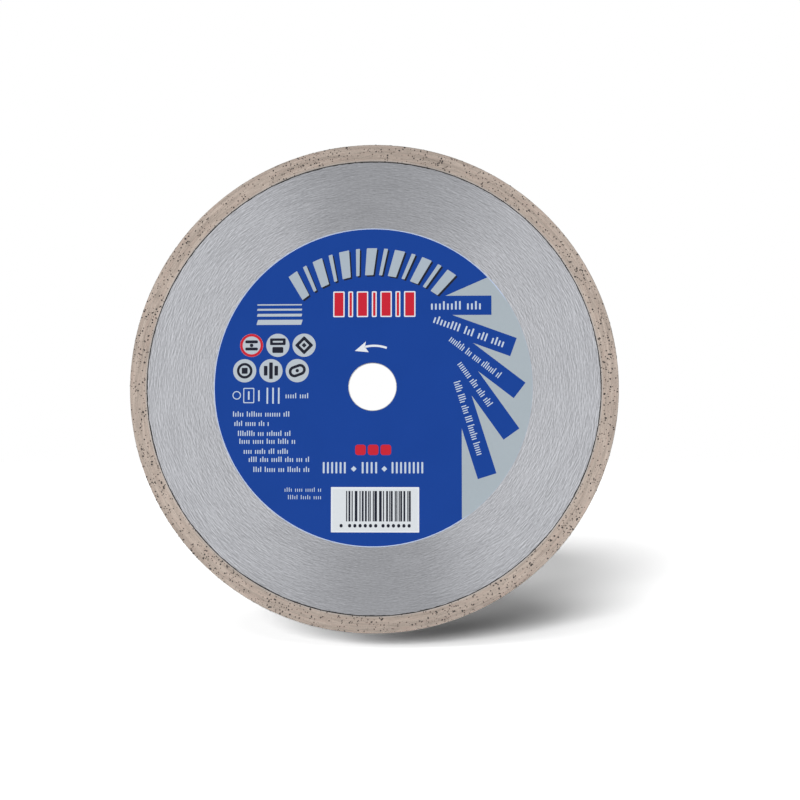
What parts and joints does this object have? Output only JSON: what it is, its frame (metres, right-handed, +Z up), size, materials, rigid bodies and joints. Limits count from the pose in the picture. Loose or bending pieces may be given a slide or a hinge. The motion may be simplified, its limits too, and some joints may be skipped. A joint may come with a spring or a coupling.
{
  "type": "continuous-rim diamond cutting blade",
  "caption": "Thin round steel blade with a bored centre, a printed label on its front and a sintered diamond rim round its edge.",
  "frame": {"origin": "centre of the bore, halfway through the steel core's thickness", "axes": "Y is the blade's spin axis, with the printed front looking along -Y; +X is to the right and +Z up, seen from the front"},
  "size_m": [0.2301, 0.0024, 0.23],
  "materials": {
    "steel": "ground in circles about the bore",
    "bond": "matt sintered bronze bond, ground and dressed",
    "diamond": "dark sharp grains",
    "film": "satin silver foil",
    "ink": "satin blue ink coat"
  },
  "bodies": {
    "root": {"steel_core": "steel", "bond_rim": "bond", "edge_diamonds": "diamond", "front_diamonds": "diamond", "back_diamonds": "diamond", "label_film": "film", "label_print": "ink"}
  },
  "joints": []
}
